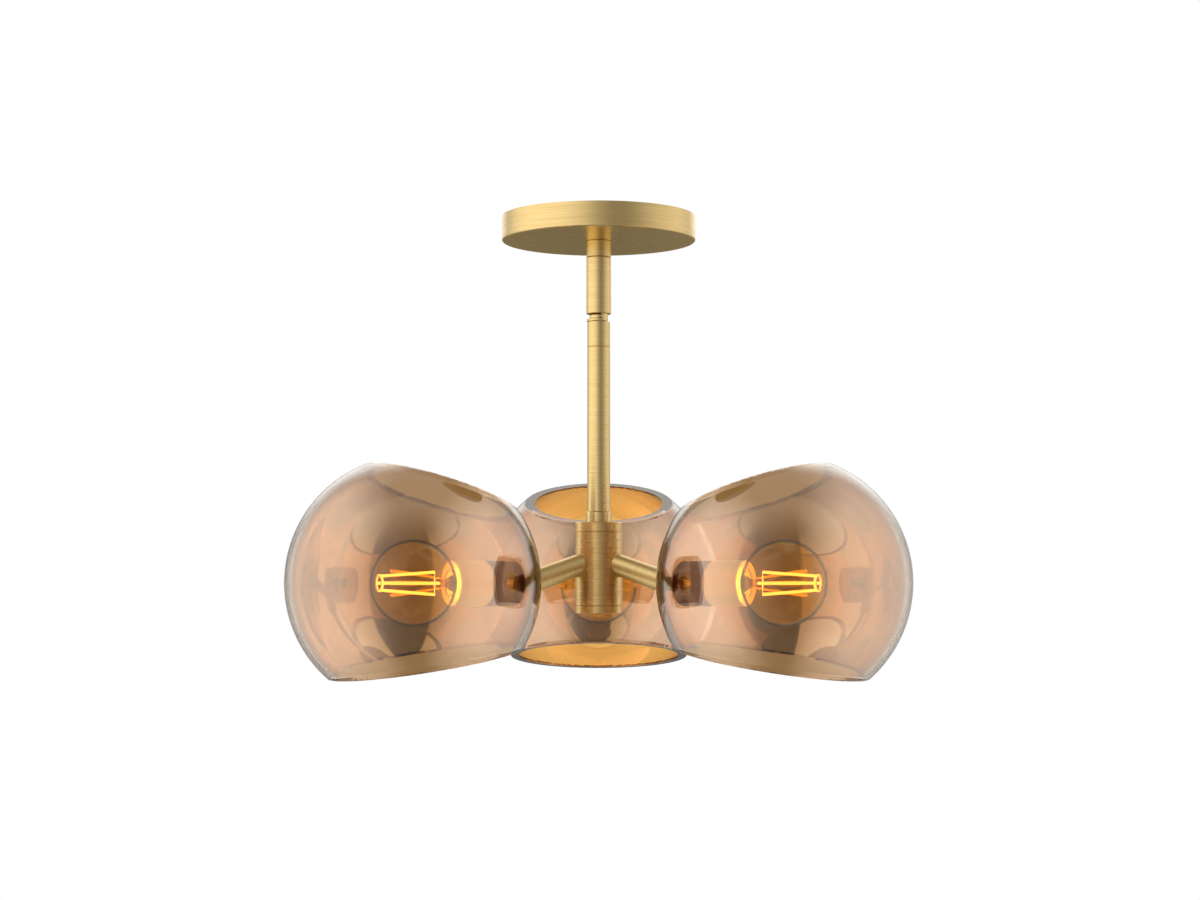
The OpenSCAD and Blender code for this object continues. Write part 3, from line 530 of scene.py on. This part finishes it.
china = add(tree, "ShaderNodeBsdfPrincipled", {"Roughness": 0.22, "IOR": GLAZE_IOR, "Base Color": tone})
surface(tree, china.outputs[0])
finish_node(glaze, "porcelain", "lampholder_left", "lampholder_right", "lampholder_back")
contact_brass = plated("rolled_brass_strip", "#cda660", "#b98f4c", 3e-3, 0.3)
finish_node(contact_brass, "contact_brass", "screw_shells", "spring_contacts")

# Bulbs: blown clear globes with four coated filaments that lean in to a ring at their outer ends, on a
# pinched glass mount, with a nickel-plated screw base and a black glass insulator.
GLOBE_RADIUS = 0.02575
GLOBE_WALL = 0.0008
NECK_RADIUS = 0.007
NECK_FILLET = 0.004
# Foot and tip of a filament, each as its distance along the bulb and from the bulb's axis
FILAMENT_ENDS = ((-0.014, 0.0067), (0.022, 0.0041))
FILAMENT_RADIUS = 0.00085
FILAMENT_CROWN, CROWN_WIRE = 0.0046, 0.0007
FILAMENT_LIT, FILAMENT_LIT_EDGE, FILAMENT_STRENGTH = "#ffbe70", "#ffb662", 3.4
PHOSPHOR_PER_METRE = 1200.0
# The thin wall is clear to the eye, darkens towards its outline and mirrors a little more there
WALL_TINT, WALL_OUTLINE = (1.0, 0.96, 0.64, 1), "#66553f"
WALL_TINT_END, WALL_OUTLINE_START = 0.72, 0.88
WALL_GLOSS, WALL_OUTLINE_GLOSS, WALL_GLOSS_POWER = 0.03, 0.35, 5.0
BULB_GLOW, BULB_GLOW_STRENGTH = (1.0, 0.36, 0.03, 1), 0.022
MOUNT_GLASS = "#e8e4dc"
BULB_LAMP, BULB_POWER, BULB_LAMP_RADIUS = (1.0, 0.55, 0.1), 0.2, 0.010

bulb_glass, tree = new_material("thin_blown_bulb_glass")
facing = add(tree, "ShaderNodeLayerWeight", {"Blend": 0.5}).outputs["Facing"]
tint = two_tone(tree, facing, WALL_TINT_END, WALL_TINT, WALL_OUTLINE_START, linear(WALL_OUTLINE))
clear = add(tree, "ShaderNodeBsdfTransparent", {"Color": tint})
shine = add(tree, "ShaderNodeBsdfGlossy", {"Color": WHITE, "Roughness": 0.0})
edge = calc(tree, "POWER", facing, WALL_GLOSS_POWER)
gloss = calc(tree, "MULTIPLY_ADD", edge, WALL_OUTLINE_GLOSS, WALL_GLOSS)
body = mix(tree, gloss, clear.outputs[0], shine.outputs[0])
glow = emission(tree, BULB_GLOW, BULB_GLOW_STRENGTH)
surface(tree, add(tree, "ShaderNodeAddShader", {0: body, 1: glow}).outputs[0])
mount_glass, tree = new_material("pressed_lead_glass")
body = add(tree, "ShaderNodeBsdfGlass", {"IOR": GLASS_IOR, "Roughness": 0.05, "Color": linear(MOUNT_GLASS)})
surface(tree, body.outputs[0])
filament, tree = new_material("lit_amber_phosphor")
tone = two_tone(tree, grain(tree, PHOSPHOR_PER_METRE, 2.0), 0.3, linear(FILAMENT_LIT_EDGE),
                0.7, linear(FILAMENT_LIT))
lit = add(tree, "ShaderNodeBsdfPrincipled", {"Emission Strength": FILAMENT_STRENGTH, "Roughness": 0.5,
          "Base Color": tone, "Emission Color": tone})
surface(tree, lit.outputs[0])

# The bulbs' own light only needs to reach the sockets and the bulbs; the tent does the rest
lit_by_bulbs = bpy.data.collections.new("lit_by_bulbs")
for name in ("socket_cup", "lampholder", "bulb_mount", "bulb_leads", "bulb_base"):
    for side in BEARING:
        lit_by_bulbs.objects.link(frame["nodes"][name + "_" + side])
for name in ("inner_gaskets", "screw_shells", "cup_nuts"):
    lit_by_bulbs.objects.link(frame["nodes"][name])
# The film shows the studio, but no second picture of the sockets
unmirrored = [frame["nodes"]["bulb_eyelet_" + side] for side in BEARING]
for piece in [*lit_by_bulbs.objects, frame["nodes"]["spring_contacts"], *unmirrored]:
    piece.visible_glossy = False

# A bulb's wall is spun from one line: out along the globe and its neck, a step in, and back
fillet_radius = NECK_RADIUS + NECK_FILLET
fillet_x = -math.sqrt((GLOBE_RADIUS + NECK_FILLET) ** 2 - fillet_radius ** 2)
globe_sweep = math.atan2(fillet_radius, fillet_x)
neck_sweep = math.atan2(-fillet_x, fillet_radius)
fillet = (fillet_x, 0, fillet_radius)
outer_line = (((0, 0, 0), -1, globe_sweep, 60), (fillet, 1, neck_sweep, 10))
inner_line = ((fillet, -1, neck_sweep, 10), ((0, 0, 0), 1, globe_sweep, 60))
for side, bearing_deg in BEARING.items():
    turn = math.radians(bearing_deg)
    mesh = bmesh.new()
    end = mesh.verts.new((GLOBE_RADIUS, 0, 0))
    for line in (outer_line, inner_line):
        if line is inner_line:
            end = bmesh.ops.extrude_vert_indiv(mesh, verts=[end])["verts"][0]
            end.co.z -= GLOBE_WALL
        for centre, way, sweep, steps in line:
            last = bmesh.ops.spin(mesh, geom=[end], cent=centre, axis=(0, way, 0), angle=sweep,
                                  steps=steps)["geom_last"]
            end = [g for g in last if isinstance(g, bmesh.types.BMVert)][0]
    bmesh.ops.spin(mesh, geom=mesh.verts[:] + mesh.edges[:], cent=(0, 0, 0), axis=(1, 0, 0),
                   angle=math.tau, steps=96, use_merge=True)
    bmesh.ops.remove_doubles(mesh, verts=mesh.verts, dist=1e-6)
    bmesh.ops.recalc_face_normals(mesh, faces=mesh.faces)
    to_side(mesh, bearing_deg)
    globe = into_scene("blown_bulb_" + side, mesh, [bulb_glass])
    globe.visible_shadow = False
    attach(globe, "bulb_" + side)
    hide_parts("bulb_globe_" + side)

    mesh = bmesh.new()
    for quarter in range(4):
        quarter_turn = Matrix.Rotation(math.radians(90 * quarter), 3, "X")
        foot, tip = [quarter_turn @ Vector((x, 0, r)) for x, r in FILAMENT_ENDS]
        made = bmesh.ops.create_cone(mesh, cap_ends=True, segments=24, radius1=FILAMENT_RADIUS,
                                     radius2=FILAMENT_RADIUS, depth=(tip - foot).length)["verts"]
        bmesh.ops.rotate(mesh, verts=made, matrix=(tip - foot).to_track_quat("Z", "Y").to_matrix())
        bmesh.ops.translate(mesh, verts=made, vec=(foot + tip) / 2)
    at_tips = Matrix.Translation((FILAMENT_ENDS[1][0], 0, FILAMENT_CROWN))
    crown = bmesh.ops.create_circle(mesh, segments=12, radius=CROWN_WIRE,
                                    matrix=at_tips @ Matrix.Rotation(math.radians(90), 4, "X"))["verts"]
    rim = list({edge for v in crown for edge in v.link_edges})
    bmesh.ops.spin(mesh, geom=crown + rim, cent=(0, 0, 0), axis=(1, 0, 0), angle=math.tau, steps=48,
                   use_merge=True)
    bmesh.ops.recalc_face_normals(mesh, faces=mesh.faces)
    to_side(mesh, bearing_deg)
    strips = into_scene("coated_filaments_" + side, mesh, [filament])
    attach(strips, "bulb_" + side)
    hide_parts("filaments_" + side)

    light = bpy.data.lights.new("bulb_light_" + side, "POINT")
    light.energy, light.color, light.shadow_soft_size = BULB_POWER, BULB_LAMP, BULB_LAMP_RADIUS
    lamp = bpy.data.objects.new("bulb_light_" + side, light)
    lamp.location = (SHADE_REACH * math.cos(turn), SHADE_REACH * math.sin(turn), SHADE_Z)
    bpy.context.scene.collection.objects.link(lamp)
    lamp.light_linking.receiver_collection = lit_by_bulbs
    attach(lamp, "bulb_" + side)

finish_node(mount_glass, "clear_glass", "bulb_mount_left", "bulb_mount_right", "bulb_mount_back")
nickel_wire = plated("drawn_nickel_wire", "#b7b1a6", "#9b958b", 2e-3, 0.3)
finish_node(nickel_wire, "nickel_wire", "bulb_leads_left", "bulb_leads_right", "bulb_leads_back")
nickel_shell = plated("rolled_nickel_plated_base", "#c9c4b8", "#b3ada0", 3e-3, 0.25)
finish_node(nickel_shell, "nickel_shell", "bulb_base_left", "bulb_base_right", "bulb_base_back")
black_glass = plated("moulded_black_glass", "#151413", "#1f1d1b", 3e-3, 0.15, metallic=0.0)
finish_node(black_glass, "black_glass", "bulb_eyelet_left", "bulb_eyelet_right", "bulb_eyelet_back")
